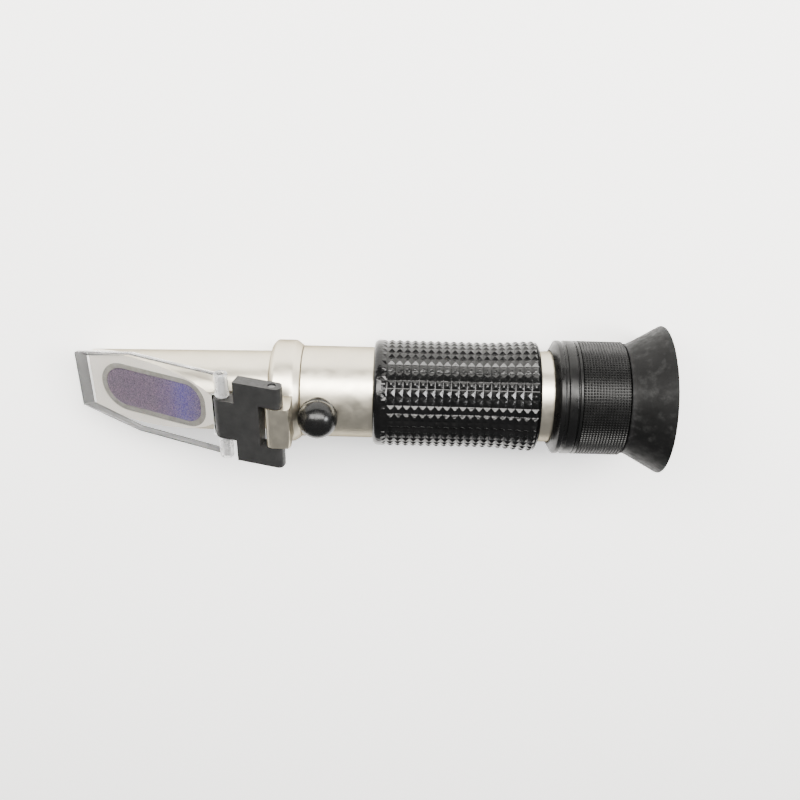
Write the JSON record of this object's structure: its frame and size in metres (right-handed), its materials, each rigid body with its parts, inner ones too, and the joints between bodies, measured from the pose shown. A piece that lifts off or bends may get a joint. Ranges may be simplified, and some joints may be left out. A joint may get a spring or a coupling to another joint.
{
  "type": "handheld refractometer",
  "caption": "Handheld optical refractometer: metal tube with a sloped prism face, hinged clear daylight plate, rubber grip, and a focusing eyepiece with a flared eyecup.",
  "frame": {"origin": "centre of the bounding box in X and Y, at its lowest Z, which is the lowest line of the eyecup; the optical axis is 20 mm above it", "axes": "+X along the optical axis towards the eyepiece, +Z away from the sloped sample face, on the side of the daylight plate, +Y across"},
  "size_m": [0.158, 0.04, 0.04],
  "materials": {
    "satin_aluminium": "satin bead-blasted, pale champagne",
    "black_plastic": "matte moulded black",
    "black_rubber": "semi-gloss moulded black rubber",
    "clear_acrylic": "clear, polished",
    "prism_glass": "finely ground, violet",
    "lens_glass": "polished",
    "grey_seal": "grey sealing compound",
    "pin_steel": "bright drawn steel",
    "turned_brass": "turned",
    "matte_black": "matte black anodised"
  },
  "bodies": {
    "body": {"body_tube": "satin_aluminium", "prism_housing": "satin_aluminium", "prism": "prism_glass", "prism_seal": "grey_seal", "hinge_collar": "satin_aluminium", "rear_hinge_pin": "pin_steel", "rubber_grip": "black_rubber", "screw_bush": "turned_brass", "bimetal_strip": "pin_steel", "strip_block": "turned_brass", "strip_screw_1": "pin_steel", "strip_screw_2": "pin_steel", "carriage_spring": "pin_steel", "field_stop": "matte_black", "reticle_holder": "matte_black", "reticle": "lens_glass", "reticle_ring": "turned_brass", "focus_o_ring": "black_rubber", "focus_key": "pin_steel"},
    "cover": {"cover_link": "black_plastic", "front_hinge_pin": "pin_steel"},
    "plate": {"daylight_plate": "clear_acrylic"},
    "cap": {"calibration_cap": "black_rubber"},
    "carriage": {"lens_carriage": "turned_brass", "objective_lens": "lens_glass", "objective_ring": "matte_black"},
    "screw": {"calibration_screw": "turned_brass"},
    "ocular": {"ocular_cell": "matte_black", "field_lens": "lens_glass", "lens_spacer": "matte_black", "eye_lens": "lens_glass", "eye_lens_ring": "matte_black"},
    "eyepiece": {"focus_ring": "black_plastic", "focus_sleeve": "black_rubber", "eyecup": "black_rubber"}
  },
  "joints": [
    {"name": "cover_hinge", "type": "hinge", "parent": "body", "child": "cover", "pos_m": [-0.023, 0, 0.0374], "axis": [0, 1, 0], "range_deg": [0, 120]},
    {"name": "plate_hinge", "type": "hinge", "parent": "cover", "child": "plate", "pos_m": [-0.0365, 0, 0.0332], "axis": [0, 1, 0], "range_deg": [0, 80]},
    {"name": "cap_pull", "type": "slide", "parent": "body", "child": "cap", "axis": [0, 0, 1], "range_m": [0, 0.008]},
    {"name": "carriage_shift", "type": "slide", "parent": "body", "child": "carriage", "axis": [0, 0, 1], "range_m": [-0.0005, 0.0005], "deforming": ["carriage_spring"]},
    {"name": "calibration_turn", "type": "hinge", "parent": "carriage", "child": "screw", "pos_m": [-0.0122, 0, 0.02], "axis": [0, 0, 1], "range_deg": [-360, 360]},
    {"name": "focus_slide", "type": "slide", "parent": "body", "child": "ocular", "axis": [1, 0, 0], "range_m": [-0.0015, 0.0015]},
    {"name": "focus_turn", "type": "hinge", "parent": "ocular", "child": "eyepiece", "pos_m": [0.06, 0, 0.02], "axis": [1, 0, 0], "range_deg": [-360, 360]}
  ],
  "couplings": [
    {"joint": "calibration_turn", "follows": "carriage_shift", "rad_per_m": 12566},
    {"joint": "focus_slide", "follows": "focus_turn", "m_per_rad": 0.0002385}
  ]
}
